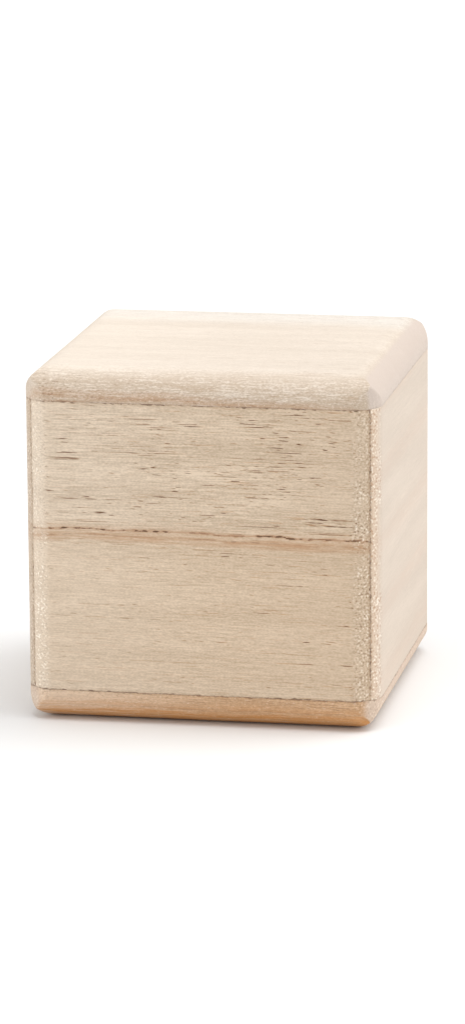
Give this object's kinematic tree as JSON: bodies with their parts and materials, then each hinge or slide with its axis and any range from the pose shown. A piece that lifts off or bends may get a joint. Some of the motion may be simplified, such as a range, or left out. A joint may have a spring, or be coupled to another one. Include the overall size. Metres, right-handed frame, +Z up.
{
  "type": "wooden cube",
  "caption": "Hollow wooden cube of thin glued boards, with mitred upright corners, square boards closing the top and bottom, and rounded-over edges.",
  "frame": {"origin": "middle of the bottom face, on the surface the cube stands on", "axes": "+Z up through the top board, -Y towards the viewer out of the front board, +X to the viewer's right out of the right board"},
  "size_m": [0.05, 0.05, 0.05],
  "materials": {
    "top_board_wood": "sanded bare pale wood",
    "bottom_board_wood": "sanded bare pale wood, warmer tone",
    "front_board_wood": "sanded bare pale wood with brown pores",
    "right_board_wood": "sanded bare pale wood",
    "back_board_wood": "sanded bare pale wood",
    "left_board_wood": "sanded bare pale wood"
  },
  "bodies": {
    "root": {"top_board": "top_board_wood", "bottom_board": "bottom_board_wood", "front_board": "front_board_wood", "right_board": "right_board_wood", "back_board": "back_board_wood", "left_board": "left_board_wood"}
  },
  "joints": []
}
